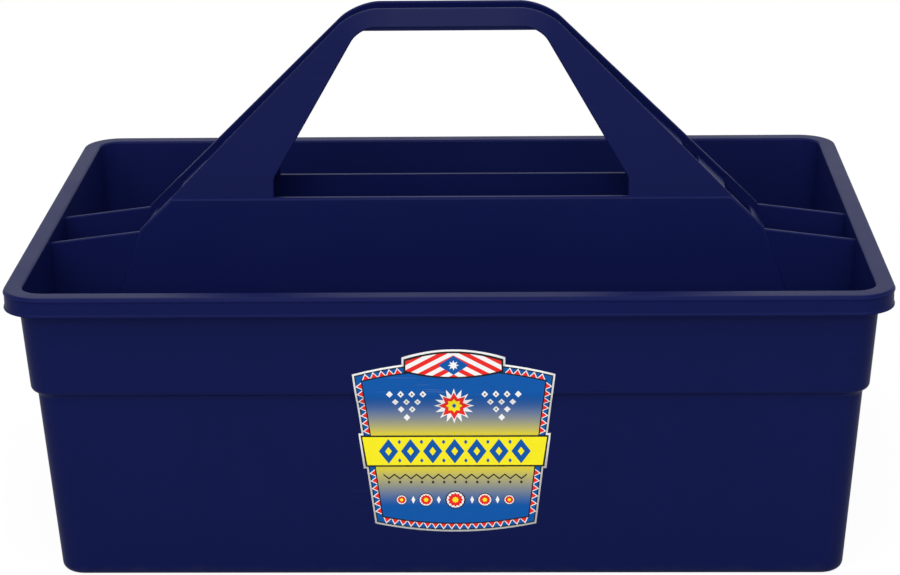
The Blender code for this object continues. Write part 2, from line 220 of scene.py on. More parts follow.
class ToteColours(bpy.types.PropertyGroup):
    """Colours of the plastic and of the label."""

    plastic: colour_property("Plastic", "Navy of the moulded plastic", 0.0045, 0.0078, 0.0625)
    roughness: FloatProperty(name="Roughness", description="Mean roughness of the satin moulded skin",
                             default=0.36, min=0.0, max=1.0, subtype="FACTOR")
    specular: FloatProperty(name="Specular level", description="Strength of the plastic's mirror reflection",
                            default=0.05, min=0.0, max=1.0, subtype="FACTOR")
    label_white: colour_property("Label white", "White of the label's film", 0.91, 0.91, 0.905)
    label_black: colour_property("Label black", "Black ink", 0.010, 0.010, 0.011)
    label_blue: colour_property("Label blue", "Blue ink", 0.0012, 0.0908, 0.3763)
    label_red: colour_property("Label red", "Red ink", 0.8388, 0.0212, 0.0168)
    label_yellow: colour_property("Label yellow", "Yellow ink", 0.9473, 0.8388, 0.0152)
    label_gold: colour_property("Label gold", "Gold in the middle of the field", 0.70, 0.60, 0.05)


def half_length(z):
    """Half length of the tub at a height, on the outer face of its walls."""
    climb = min(max((z - STEP_HEIGHT + STEP_DROP) / STEP_DROP, 0.0), 1.0)
    return FLOOR_HALF_LENGTH + WALL_DRAFT * z + STEP_OUT * climb


def end_wall_x(z):
    """Distance of the centre block's end from the middle of the tote at a height."""
    return SHOULDER_X + END_WALL_DRAFT * (SHOULDER_HEIGHT - z)


def panel_face(z):
    """Distance of a block panel's outer face from the divider plane at a height."""
    return LEDGE_HALF_WIDTH + math.tan(PANEL_LEAN) * (LEDGE_HEIGHT - z)


def arch_face(z):
    """Distance of a handle plate's outer face from the divider plane at a height."""
    return ARCH_FACE - math.tan(ARCH_LEAN) * (z - LEDGE_HEIGHT)


def deselect_all():
    """Leaves object mode with nothing selected."""
    if bpy.context.object and bpy.context.object.mode != "OBJECT":
        bpy.ops.object.mode_set(mode="OBJECT")
    bpy.ops.object.select_all(action="DESELECT")


def select_only(piece):
    """Leaves object mode with one piece selected and active."""
    deselect_all()
    piece.select_set(True)
    bpy.context.view_layer.objects.active = piece


def apply_place():
    """Moves the selected pieces' place, turn and scale into their meshes."""
    bpy.ops.object.transform_apply(location=True, rotation=True, scale=True)


def start_box(name, low, high):
    """Box primitive between two corners, open in edit mode."""
    deselect_all()
    low, high = Vector(low), Vector(high)
    bpy.ops.mesh.primitive_cube_add(size=1.0, location=(low + high) / 2)
    box = bpy.context.object
    box.name = box.data.name = name
    box.scale = high - low
    apply_place()
    bpy.ops.object.mode_set(mode="EDIT")
    return box


def start_sheet(name, lean):
    """Unit plane about the origin, leant up from the floor by an angle, open in edit mode."""
    deselect_all()
    bpy.ops.mesh.primitive_plane_add(size=1.0, rotation=(lean, 0.0, 0.0))
    sheet = bpy.context.object
    sheet.name = sheet.data.name = name
    apply_place()
    bpy.ops.object.mode_set(mode="EDIT")
    return sheet


def pick(kind, test):
    """Selects the corners, edges or faces that pass a test, in edit mode."""
    bpy.ops.mesh.select_mode(type=kind)
    bpy.ops.mesh.select_all(action="DESELECT")
    mesh = bpy.context.edit_object.data
    shape = bmesh.from_edit_mesh(mesh)
    items = {"VERT": shape.verts, "EDGE": shape.edges, "FACE": shape.faces}[kind]
    for item in items:
        if test(item):
            item.select_set(True)
    bmesh.update_edit_mesh(mesh)


def selected_points():
    """Places of the selected corners, in edit mode."""
    shape = bmesh.from_edit_mesh(bpy.context.edit_object.data)
    return [vert.co.copy() for vert in shape.verts if vert.select]


def middle(edge):
    """Middle point of an edge."""
    return (edge.verts[0].co + edge.verts[1].co) / 2


def direction(edge):
    """Unit vector along an edge."""
    return (edge.verts[1].co - edge.verts[0].co).normalized()


def pick_face_towards(axis, place):
    """Selects the flat faces that look along an axis vector at a distance along it."""
    axis = Vector(axis)
    pick("FACE", lambda face: face.normal.dot(axis) > 0.99 and
         abs(face.calc_center_median().dot(axis) - place) < 0.05 * MM)


def pick_edges_along(axis, test):
    """Selects the edges that run along an axis vector and whose middle passes a test."""
    axis = Vector(axis)
    pick("EDGE", lambda edge: abs(direction(edge).dot(axis)) > 0.999 and test(middle(edge)))


def is_sharp(edge, degrees=30.0):
    """Tells whether the faces at an edge meet at more than an angle."""
    return edge.calc_face_angle(0.0) > math.radians(degrees)


def pick_ring(z, degrees=30.0):
    """Selects the sharp edges that lie level at a height."""
    pick("EDGE", lambda edge: all(abs(vert.co.z - z) < NEAR for vert in edge.verts) and is_sharp(edge, degrees))


def bevel(radius, steps):
    """Rounds the selected edges."""
    bpy.ops.mesh.bevel(offset=radius, offset_type="OFFSET", segments=steps, profile=0.5, affect="EDGES")


def round_corners(radius, turn, steps):
    """Rounds the selected corners to a radius, where the outline turns by an angle in degrees."""
    bevel(radius * math.tan(math.radians(turn / 2)), steps)


def score(heights):
    """Cuts a level line into the whole piece at each height."""
    for z in heights:
        bpy.ops.mesh.select_all(action="SELECT")
        bpy.ops.mesh.bisect(plane_co=(0.0, 0.0, z), plane_no=(0.0, 0.0, 1.0), threshold=1e-6)


def cut_off(place, outward):
    """Cuts the whole piece with a plane and closes the cut, dropping what lies outward of it."""
    bpy.ops.mesh.select_all(action="SELECT")
    bpy.ops.mesh.bisect(plane_co=place, plane_no=outward, use_fill=True, clear_outer=True, threshold=1e-6)


def extrude_to(z, half_x):
    """Extrudes the selected level face to a height and a half length, keeping the tub's plan."""
    corners = selected_points()
    now_x = max(co.x for co in corners)
    now_y = max(co.y for co in corners)
    now_z = corners[0].z
    half_y = half_x - (TUB_HIGH.x - TUB_HIGH.y)
    bpy.ops.mesh.extrude_region_move(TRANSFORM_OT_translate={"value": (0.0, 0.0, z - now_z)})
    bpy.ops.transform.resize(value=(half_x / now_x, half_y / now_y, 1.0), center_override=(0.0, 0.0, z))


def apply_modifier(piece, kind, **settings):
    """Adds a modifier with its settings and applies it."""
    select_only(piece)
    bpy.ops.object.modifier_add(type=kind)
    modifier = piece.modifiers[-1]
    for key, value in settings.items():
        setattr(modifier, key, value)
    bpy.ops.object.modifier_apply(modifier=modifier.name)


def cut(piece, tool):
    """Takes a tool's shape out of a piece and removes the tool."""
    apply_modifier(piece, "BOOLEAN", object=tool, operation="DIFFERENCE", solver="EXACT")
    bpy.data.objects.remove(tool)


def join_solids(piece, others):
    """Unites closed pieces into one skin and clears the slivers left along the seams."""
    for other in others:
        apply_modifier(piece, "BOOLEAN", object=other, operation="UNION", solver="EXACT")
        bpy.data.objects.remove(other)
    bpy.ops.object.mode_set(mode="EDIT")
    bpy.ops.mesh.select_all(action="SELECT")
    bpy.ops.mesh.remove_doubles(threshold=0.01 * MM)
    bpy.ops.mesh.dissolve_degenerate(threshold=0.01 * MM)
    deselect_all()


def finish_shape(piece, finish, *nodes):
    """Smooth shading, material, place on the body and the CAD nodes that the piece stands for."""
    select_only(piece)
    bpy.ops.object.shade_smooth_by_angle(angle=SMOOTH_ANGLE)
    apply_modifier(piece, "WEIGHTED_NORMAL", keep_sharp=True, weight=100)
    piece.data.materials.clear()
    piece.data.materials.append(finish)
    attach(piece, "root")
    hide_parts(*nodes)


def scaled(colour, factor):
    """Colour made lighter or darker by a factor."""
    return (*(min(value * factor, 1.0) for value in colour[:3]), 1.0)


class NodeSheet:
    """Node tree in the making. Each step takes numbers, colours or sockets, and gives a socket back."""

    def __init__(self, tree):
        self.nodes = tree.nodes
        self.links = tree.links

    def feed(self, node, name, value):
        """Links a node's input to a socket, or sets it to a value."""
        if isinstance(value, bpy.types.NodeSocket):
            self.links.new(value, node.inputs[name])
        else:
            node.inputs[name].default_value = value

    def add(self, kind, inputs, **settings):
        """New node with its settings and inputs."""
        node = self.nodes.new(kind)
        for key, value in settings.items():
            setattr(node, key, value)
        for name, value in inputs.items():
            self.feed(node, name, value)
        return node

    def arithmetic(self, operation, first, second=0.0, third=0.0):
        """One arithmetic step."""
        return self.add("ShaderNodeMath", {0: first, 1: second, 2: third}, operation=operation).outputs[0]

    def spread(self, value, low, high, start=0.25, end=0.75):
        """Spreads the part of a value between a start and an end over a range."""
        return self.add("ShaderNodeMapRange", {"Value": value, "From Min": start, "From Max": end,
                                               "To Min": low, "To Max": high}).outputs["Result"]

    def blend(self, factor, first, second):
        """Mixes two colours by a factor."""
        return self.add("ShaderNodeMix", {"Factor": factor, "A": first, "B": second},
                        data_type="RGBA").outputs["Result"]


class Finish(NodeSheet):
    """Material in the making, with its shader and the piece's own coordinates."""

    def __init__(self, name):
        self.material = bpy.data.materials.new(name)
        self.material.use_nodes = True
        super().__init__(self.material.node_tree)
        self.shader = self.nodes["Principled BSDF"]

    def coordinates(self):
        """The piece's own coordinates."""
        return self.add("ShaderNodeTexCoord", {}).outputs["Object"]

    def axis(self, name):
        """One axis of the piece's own coordinates."""
        return self.add("ShaderNodeSeparateXYZ", {"Vector": self.coordinates()}).outputs[name]

    def distance(self, name, place):
        """Distance from a place on an axis, on either side."""
        return self.arithmetic("ABSOLUTE", self.arithmetic("SUBTRACT", self.axis(name), place))

    def stretched(self, scale, rotation=(0.0, 0.0, 0.0)):
        """The piece's own coordinates, turned and stretched for marks that run one way."""
        return self.add("ShaderNodeMapping", {"Vector": self.coordinates(), "Rotation": rotation,
                                              "Scale": scale}).outputs["Vector"]

    def noise(self, scale, detail, seed, coordinates=None):
        """Noise texture, moved by a seed."""
        return self.add("ShaderNodeTexNoise", {"Vector": coordinates or self.coordinates(), "W": seed,
                                               "Scale": scale, "Detail": detail},
                        noise_dimensions="4D").outputs["Fac"]

    def hairlines(self, seed):
        """Sparse hairline scratches in patches: towards 1 on a scratch and 0 elsewhere."""
        along = self.stretched((1.0, 1.0, 45.0), (0.5, 0.9, 0.3))
        lines = self.noise(scale=45.0, detail=2.0, seed=seed, coordinates=along)
        patches = self.noise(scale=13.0, detail=2.0, seed=seed + 1.0)
        strokes = self.spread(lines, 0.0, 1.0, 0.63, 0.70)
        worn = self.spread(patches, 0.0, 1.0, 0.52, 0.66)
        return self.arithmetic("MULTIPLY", strokes, worn)

    def bump(self, height, strength, distance):
        """Raises the surface by a height pattern."""
        raised = self.add("ShaderNodeBump", {"Height": height, "Strength": strength, "Distance": distance})
        self.feed(self.shader, "Normal", raised.outputs["Normal"])


def grip_painted_highlight(finish):
    """Painted highlight on the grip, in place of a lamp's reflection on the bar: towards 1 on the outer sides of its
    plates and 0 elsewhere.
    """
    height = finish.spread(finish.axis("Z"), 0.0, 1.0, *GRIP_HIGHLIGHT_HEIGHT)
    length = finish.spread(finish.distance("X", 0.0), 0.0, 1.0, *GRIP_HIGHLIGHT_X)
    side = finish.spread(finish.distance("Y", DIVIDER_Y), 0.0, 1.0, *GRIP_HIGHLIGHT_SIDE)
    return finish.arithmetic("MULTIPLY", finish.arithmetic("MULTIPLY", height, length), side)


def foot_wear(finish, seed):
    """Where the ground rubs the foot, with a ragged upper edge."""
    ragged = finish.noise(scale=130.0, detail=5.0, seed=seed)
    lowered = finish.arithmetic("MULTIPLY", ragged, FOOT_WEAR_RAGGEDNESS)
    above = finish.arithmetic("SUBTRACT", finish.axis("Z"), lowered)
    return finish.spread(above, 0.0, 0.4, *FOOT_WEAR_HEIGHT)


def moulded_plastic(name, seed):
    """Satin navy plastic: clouding, flow streaks, uneven gloss, a fine skin, hairlines, a worn foot and a painted
    highlight on the grip.
    """
    colours = bpy.context.scene.tote_colours
    base = colours.plastic
    scuffed = (*(0.75 * value + 0.02 for value in base[:3]), 1.0)
    # Lighter navy painted on the grip as a highlight, in place of a lamp's reflection
    grip_highlight_colour = (*(value + GRIP_PAINTED_HIGHLIGHT for value in base[:3]), 1.0)
    finish = Finish(name)
    clouding = finish.noise(scale=9.0, detail=4.0, seed=seed)
    colour = finish.blend(clouding, scaled(base, 0.93), scaled(base, 1.08))
    flow = finish.noise(scale=70.0, detail=3.0, seed=seed + 1.0, coordinates=finish.stretched((1.0, 1.0, 0.18)))
    colour = finish.blend(finish.spread(flow, 0.0, 0.5), colour, scaled(base, 1.06))
    scratches = finish.hairlines(seed + 2.0)
    colour = finish.blend(finish.arithmetic("MULTIPLY", scratches, 0.35), colour, scuffed)
    # Painted highlight: lightens the grip's plates where a lamp's reflection would fall
    colour = finish.blend(grip_painted_highlight(finish), colour, grip_highlight_colour)
    finish.feed(finish.shader, "Base Color", finish.blend(foot_wear(finish, seed + 4.0), colour, scuffed))
    gloss = finish.noise(scale=26.0, detail=6.0, seed=seed + 3.0)
    roughness = finish.spread(gloss, colours.roughness - 0.04, colours.roughness + 0.05)
    roughness = finish.arithmetic("ADD", roughness, finish.arithmetic("MULTIPLY", scratches, 0.12))
    finish.feed(finish.shader, "Roughness", roughness)
    finish.feed(finish.shader, "Specular IOR Level", colours.specular)
    finish.bump(finish.noise(scale=900.0, detail=3.0, seed=seed + 7.0), strength=0.09, distance=0.2 * MM)
    return finish.material


class TOTE_OT_tub(bpy.types.Operator):
    """Tub with stepped, tapered walls, a turned-down rim and an open slot under the divider"""

    bl_idname = "tote.add_tub"
    bl_label = "Add tub"

    def execute(self, context):
        sizes = context.scene.tote_sizes
        rim_top = TUB_HIGH.z
        lip_bottom = rim_top - LIP_DEPTH
        step_foot = STEP_HEIGHT - STEP_DROP
        tub = start_box("tub_shell", (TUB_LOW.x, TUB_LOW.y, lip_bottom), TUB_HIGH)
        pick_edges_along((0, 0, 1), lambda co: True)
        bevel(RIM_CORNER, sizes.corner_steps)
        self.bead_lip(rim_top, lip_bottom)
        pick_ring(rim_top)
        bevel(RIM_EDGE, 4)
        pick_face_towards((0, 0, 1), rim_top)
        bpy.ops.mesh.inset(thickness=TUB_HIGH.x - BEAD - RIM_EDGE - half_length(rim_top) + sizes.wall)
        for z in (STEP_HEIGHT, step_foot, sizes.wall):
            extrude_to(z, half_length(z) - sizes.wall)
        pick_ring(rim_top)
        bevel(MOUTH_EDGE, 3)
        pick_face_towards((0, 0, -1), -lip_bottom)
        bpy.ops.mesh.inset(thickness=LIP_THICKNESS)
        bpy.ops.mesh.extrude_region_move(
            TRANSFORM_OT_translate={"value": (0.0, 0.0, LIP_DEPTH - FLANGE_THICKNESS)})
        under_flange = rim_top - FLANGE_THICKNESS
        bpy.ops.mesh.inset(thickness=TUB_HIGH.x - LIP_THICKNESS - half_length(under_flange))
        for z in (STEP_HEIGHT, step_foot, 0.0):
            extrude_to(z, half_length(z))
        pick_ring(0.0)
        bevel(BOTTOM_EDGE, 6)
        pick_ring(sizes.wall)
        bevel(BOTTOM_EDGE - sizes.wall / 2, 5)
        for z in (STEP_HEIGHT, step_foot):
            pick_ring(z, 15.0)
            bevel(STEP_EDGE, 4)
        pick_ring(lip_bottom)
        bevel(LIP_FOOT_EDGE, 2)
        deselect_all()
        half_slot = panel_face(sizes.wall) - PANEL_THICKNESS
        slot = start_box("slot_tool", (-SLOT_HALF_LENGTH, DIVIDER_Y - half_slot, -OVERSHOOT),
                         (SLOT_HALF_LENGTH, DIVIDER_Y + half_slot, sizes.wall + OVERSHOOT))
        pick_edges_along((0, 0, 1), lambda co: True)
        bevel(SLOT_CORNER, 6)
        cut(tub, slot)
        finish_shape(tub, moulded_plastic("tub_plastic", 1.0), "tub")
        return {"FINISHED"}

    def bead_lip(self, rim_top, lip_bottom):
        """Leaves a fine bead under the rim's edge and another along the lip's foot, with the face between set in."""
        heights = [rim_top - drop for drop in BEADS_BELOW_RIM] + [lip_bottom + climb for climb in BEADS_ABOVE_FOOT]
        score(heights)
        set_in = (rim_top, heights[0], heights[3], heights[4])
        pick("VERT", lambda vert: any(abs(vert.co.z - z) < NEAR for z in set_in))
        bpy.ops.transform.resize(value=(1.0 - BEAD / TUB_HIGH.x, 1.0 - BEAD / TUB_HIGH.y, 1.0),
                                 center_override=(0.0, 0.0, 0.0))


def start_plate(name, side, half_x, bottom, top, thickness, lean):
    """Upright slab with its outer face on the XZ plane, stretched so that leaning keeps its height."""
    stretch = 1.0 / math.cos(lean)
    inner = -side * thickness * math.cos(lean)
    low = (-half_x, min(0.0, inner), bottom * stretch)
    high = (half_x, max(0.0, inner), top * stretch)
    return start_box(name, low, high)


class TOTE_OT_divider(bpy.types.Operator):
    """Hollow centre block and arched handle, whose plates lean towards each other"""

    bl_idname = "tote.add_divider"
    bl_label = "Add divider and handle"

    def execute(self, context):
        sizes = context.scene.tote_sizes
        solids = []
        for side in (-1, 1):
            solids.append(self.panel(side, sizes))
            solids.append(self.arch(side, sizes))
        solids.append(self.ridge(sizes))
        divider = solids[0]
        join_solids(divider, solids[1:])
        divider.name = divider.data.name = "divider_and_handle"
        finish_shape(divider, moulded_plastic("divider_plastic", 4.0), "front_panel", "back_panel",
                     "front_arch", "back_arch", "left_leg_web", "right_leg_web", "grip_floor")
        return {"FINISHED"}

    def panel(self, side, sizes):
        """Long wall of the block, with its ledge and its sloping ends."""
        stretch = 1.0 / math.cos(PANEL_LEAN)
        bottom = sizes.wall - SINK
        panel = start_plate("panel", side, half_length(0.0), bottom, LEDGE_HEIGHT, PANEL_THICKNESS, PANEL_LEAN)
        for end in (-1, 1):
            cut_off((end * SHOULDER_X, 0.0, SHOULDER_HEIGHT * stretch), (end, 0.0, END_WALL_DRAFT / stretch))
            cut_off((end * (LEG_LINE - LEDGE_HEIGHT), 0.0, LEDGE_HEIGHT * stretch), (end, 0.0, 1.0 / stretch))
            cut_off((end * (half_length(0.0) - sizes.wall / 2), 0.0, 0.0), (end, 0.0, -WALL_DRAFT))
        pick("EDGE", lambda edge: abs(middle(edge).y) < 0.01 * MM and
             middle(edge).z > WING_TIP_HEIGHT and is_sharp(edge))
        bevel(2.0 * sizes.edge, 4)
        self.place(panel, side, panel_face(0.0), PANEL_LEAN)
        return panel

    def arch(self, side, sizes):
        """Leaning plate of the handle with the hand hole cut through it."""
        stretch = 1.0 / math.cos(ARCH_LEAN)
        top = HANDLE_TOP
        foot = LEDGE_HEIGHT - SINK
        arch = start_plate("arch", side, LEG_LINE - foot, foot, top, ARCH_THICKNESS, ARCH_LEAN)
        for end in (-1, 1):
            cut_off((end * (LEG_LINE - foot), 0.0, foot * stretch), (end, 0.0, 1.0 / stretch))
        pick_edges_along((0, 1, 0), lambda co: co.z > (top - 1 * MM) * stretch)
        round_corners(ARCH_CORNER, 45.0, 20)
        deselect_all()
        hole = start_box("hole_tool", (-HAND_HOLE_SIDE_X, -TOOL_HALF_DEPTH, foot * stretch - OVERSHOOT),
                         (HAND_HOLE_SIDE_X, TOOL_HALF_DEPTH, HAND_HOLE_TOP * stretch))
        for end in (-1, 1):
            cut_off((end * HAND_HOLE_SIDE_X, 0.0, HAND_HOLE_SIDE_HEIGHT * stretch),
                    (end, 0.0, HAND_HOLE_SLOPE / stretch))
        pick_edges_along((0, 1, 0), lambda co: co.z > (HAND_HOLE_TOP - 1 * MM) * stretch)
        round_corners(HAND_HOLE_TOP_CORNER, 60.0, 14)
        pick_edges_along((0, 1, 0), lambda co: abs(co.z - HAND_HOLE_SIDE_HEIGHT * stretch) < 1 * MM)
        round_corners(HAND_HOLE_SIDE_CORNER, 30.0, 6)
        cut(arch, hole)
        select_only(arch)
        bpy.ops.object.mode_set(mode="EDIT")
        pick("EDGE", lambda edge: abs(direction(edge).y) < 0.5 and
             middle(edge).z > (foot + 0.1 * MM) * stretch and is_sharp(edge, 60.0))
        bevel(sizes.edge, 3)
        self.place(arch, side, arch_face(0.0), ARCH_LEAN)
        return arch

    def place(self, plate, side, face_at_floor, lean):
        """Leans a plate about its outer face's foot line at floor level and moves it beside the divider plane."""
        select_only(plate)
        plate.rotation_euler = (side * lean, 0.0, 0.0)
        plate.location = (0.0, DIVIDER_Y + side * face_at_floor, 0.0)
        apply_place()

    def ridge(self, sizes):
        """Strip that closes the top between the plates: grip floor, leg webs with windows, and end walls."""
        rungs = [(0.0, WEB_LINE[0][1])]
        frame_run = (WINDOW_MARGIN + SINK) * math.cos(math.radians(45.0))
        sills = [(near - frame_run, min(far + frame_run, WEB_TOE)) for near, far in WINDOWS]
        for start, end in zip(WEB_LINE, WEB_LINE[1:]):
            rungs.append(start)
            for x in (edge for sill in sills for edge in sill):
                if start[0] < x < end[0]:
                    share = (x - start[0]) / (end[0] - start[0])
                    rungs.append((x, start[1] + share * (end[1] - start[1])))
        rungs.append(WEB_LINE[-1])
        rungs.append((end_wall_x(POCKET_FLOOR_HEIGHT - sizes.wall), POCKET_FLOOR_HEIGHT - sizes.wall))
        ridge = start_sheet("ridge", 0.0)
        pick("EDGE", lambda edge: middle(edge).x < -0.4)
        self.place_rung(*rungs[0])
        pick("EDGE", lambda edge: middle(edge).x > 0.4)
        self.place_rung(*rungs[1])
        for x, z in rungs[2:]:
            bpy.ops.mesh.extrude_region_move()
            self.place_rung(x, z)
        for near, far in sills:
            pick("FACE", lambda face, near=near, far=far: near < face.calc_center_median().x < far)
            bpy.ops.mesh.inset(thickness=WINDOW_MARGIN + SINK, use_boundary=True)
            bpy.ops.mesh.delete(type="FACE")
        pick("EDGE", lambda edge: abs(middle(edge).x - WEB_TOE) < 0.1 * MM and
             abs(direction(edge).y) > 0.9)
        bevel(WEB_ROUNDING, 4)
        deselect_all()
        apply_modifier(ridge, "MIRROR", use_axis=(True, False, False), merge_threshold=1e-5)
        self.place(ridge, 1, 0.0, 0.0)
        apply_modifier(ridge, "SOLIDIFY", thickness=WEB_THICKNESS, offset=-1.0, use_even_offset=True)
        return ridge

    def place_rung(self, x, z):
        """Moves the selected cross edge to a place on the ridge, just into the plates at both ends."""
        ends = selected_points()
        now = (ends[0] + ends[1]) / 2
        half = abs(ends[0].y - ends[1].y) / 2
        if z > LEDGE_HEIGHT:
            reach = arch_face(z) - ARCH_THICKNESS + SINK
        else:
            reach = panel_face(z) - PANEL_THICKNESS + SINK
        bpy.ops.transform.resize(value=(1.0, reach / half, 1.0), center_override=tuple(now))
        bpy.ops.transform.translate(value=(x - now.x, 0.0, z - now.z))


class TOTE_OT_wings(bpy.types.Operator):
    """Four thin divider wings from the centre block to the tub's end walls"""

    bl_idname = "tote.add_wings"
    bl_label = "Add wings"

    def execute(self, context):
        sizes = context.scene.tote_sizes
        plastic = moulded_plastic("wing_plastic", 9.0)
        for side, place in ((-1, "front"), (1, "back")):
            for end, hand in ((-1, "left"), (1, "right")):
                self.wing(f"{place}_{hand}", side, end, sizes, plastic)
        return {"FINISHED"}

    def wing(self, name, side, end, sizes, plastic):
        """One wing: an upright strip of rungs down to its tip, given its thickness, then its sloping top."""
        wing = start_sheet(f"{name}_divider_wing", math.pi / 2)
        heights = (WING_INNER_HEIGHT + 2 * MM, STEP_HEIGHT, STEP_HEIGHT - STEP_DROP, WING_TIP_HEIGHT)
        pick("EDGE", lambda edge: middle(edge).z > 0.4)
        self.place_rung(end, heights[0], sizes)
        pick("EDGE", lambda edge: middle(edge).z < -0.4)
        self.place_rung(end, heights[1], sizes)
        for z in heights[2:]:
            bpy.ops.mesh.extrude_region_move()
            self.place_rung(end, z, sizes)
        bpy.ops.mesh.select_all(action="SELECT")
        bpy.ops.transform.translate(value=(0.0, DIVIDER_Y + side * (WING_FACE - WING_THICKNESS / 2), 0.0))
        apply_modifier(wing, "SOLIDIFY", thickness=WING_THICKNESS, offset=0.0)
        bpy.ops.object.mode_set(mode="EDIT")
        fall = (WING_INNER_HEIGHT - WING_OUTER_HEIGHT) / (half_length(WING_OUTER_HEIGHT) - sizes.wall - SHOULDER_X)
        cut_off((end * SHOULDER_X, 0.0, WING_INNER_HEIGHT), (end * fall, 0.0, 1.0))
        bpy.ops.mesh.select_all(action="SELECT")
        bpy.ops.mesh.normals_make_consistent(inside=False)
        pick("EDGE", lambda edge: middle(edge).z > WING_OUTER_HEIGHT - 1 * MM and
             abs(direction(edge).x) > 0.9 and is_sharp(edge))
        bevel(sizes.edge, 3)
        finish_shape(wing, plastic, f"{name}_wing")

    def place_rung(self, end, z, sizes):
        """Moves the selected level edge to a height, just into the centre block and the tub's wall."""
        ends = selected_points()
        now = (ends[0] + ends[1]) / 2
        half = abs(ends[0].x - ends[1].x) / 2
        inner = end_wall_x(z) - SINK
        outer = half_length(z) - sizes.wall + SINK
        bpy.ops.transform.resize(value=((outer - inner) / 2 / half, 1.0, 1.0), center_override=tuple(now))
        bpy.ops.transform.translate(value=(end * (inner + outer) / 2 - now.x, 0.0, z - now.z))


class TOTE_OT_pocket_floors(bpy.types.Operator):
    """Small floors of the two end pockets, between the wings"""

    bl_idname = "tote.add_pocket_floors"
    bl_label = "Add pocket floors"

    def execute(self, context):
        sizes = context.scene.tote_sizes
        plastic = moulded_plastic("pocket_plastic", 12.0)
        half_width = WING_FACE - WING_THICKNESS + SINK
        underside = POCKET_FLOOR_HEIGHT - sizes.wall
        for end, hand in ((-1, "left"), (1, "right")):
            inner = end * (end_wall_x(POCKET_FLOOR_HEIGHT) - SINK)
            outer = end * (half_length(underside) - sizes.wall + SINK)
            floor = start_box(f"{hand}_pocket_floor",
                              (min(inner, outer), DIVIDER_Y - half_width, underside),
                              (max(inner, outer), DIVIDER_Y + half_width, POCKET_FLOOR_HEIGHT))
            pick_face_towards((0, 0, 1), POCKET_FLOOR_HEIGHT)
            bpy.ops.mesh.inset(thickness=POCKET_MARGIN)
            bpy.ops.transform.translate(value=(0.0, 0.0, -POCKET_DISH))
            finish_shape(floor, plastic, f"{hand}_pocket")
        return {"FINISHED"}


def side_x(z):
    """Half width of the label's shield at a height."""
    return SIDE_X_AT_BASE + SIDE_LEAN * (z - BASE_HEIGHT)


def arc(x_from, x_to, at_middle, at_edge, edge_x, steps=14):
    """Points of a shallow arch, from its height in the middle and its height at a distance from it."""
    points = []
    for k in range(steps + 1):
        x = x_from + (x_to - x_from) * k / steps
        points.append((x, at_middle + (at_edge - at_middle) * (x / edge_x) ** 2))
    return points


def shield_corners(inset):
    """Half widths of the shield at its top and base, moved inwards by a border's width."""
    top_x = side_x(TOP_CORNER_HEIGHT - 0.75 * inset) - SIDE_SHARE * inset
    base_x = side_x(BASE_HEIGHT + 0.85 * inset) - SIDE_SHARE * inset
    return top_x, base_x


def shield_outline(inset):
    """Outline of the shield without its crest, moved inwards by a border's width."""
    top_x, base_x = shield_corners(inset)
    top = arc(top_x, -top_x, TOP_MIDDLE - inset, TOP_CORNER_HEIGHT - inset, side_x(TOP_CORNER_HEIGHT))
    base = arc(-base_x, base_x, BASE_MIDDLE + inset, BASE_HEIGHT + inset, SIDE_X_AT_BASE)
    return top + base


def crest_outline(inset):
    """Outline of the crest panel at the top of the label, moved inwards by a width."""
    half = CREST_HALF_WIDTH - inset
    top = arc(half, -half, CREST_TOP - inset, CREST_SIDE_HEIGHT - inset, half)
    dip = arc(-half, half, CREST_DIP + inset, CREST_DIP_SIDE + inset, half)
    return top + dip


def band_outline(inset):
    """Outline of the band across the label, moved inwards by a width."""
    high, low = BAND_HIGH - inset, BAND_LOW + inset
    high_x = side_x(BAND_HIGH) + BAND_EAR - inset
    low_x = side_x(BAND_LOW) + BAND_EAR - inset
    return [(high_x, high), (-high_x, high), (-low_x, low), (low_x, low)]


def lozenge(half_width, half_height):
    """Outline of an upright lozenge about its own middle."""
    return [(half_width, 0.0), (0.0, half_height), (-half_width, 0.0), (0.0, -half_height)]


def rosette(radius, points, waist):
    """Outline of a many-pointed rosette about its own middle."""
    outline = []
    for k in range(2 * points):
        reach = radius if k % 2 == 0 else radius * waist
        outline.append((reach * math.sin(math.pi * k / points), reach * math.cos(math.pi * k / points)))
    return outline


def zigzag(half_width, teeth, height, thickness):
    """Outline of a thin zigzag line about its own middle."""
    pitch = half_width / teeth
    upper = [(-half_width + k * pitch, height / 2 * (-1) ** k) for k in range(2 * teeth + 1)]
    lower = [(x, z - thickness) for x, z in reversed(upper)]
    return upper + lower


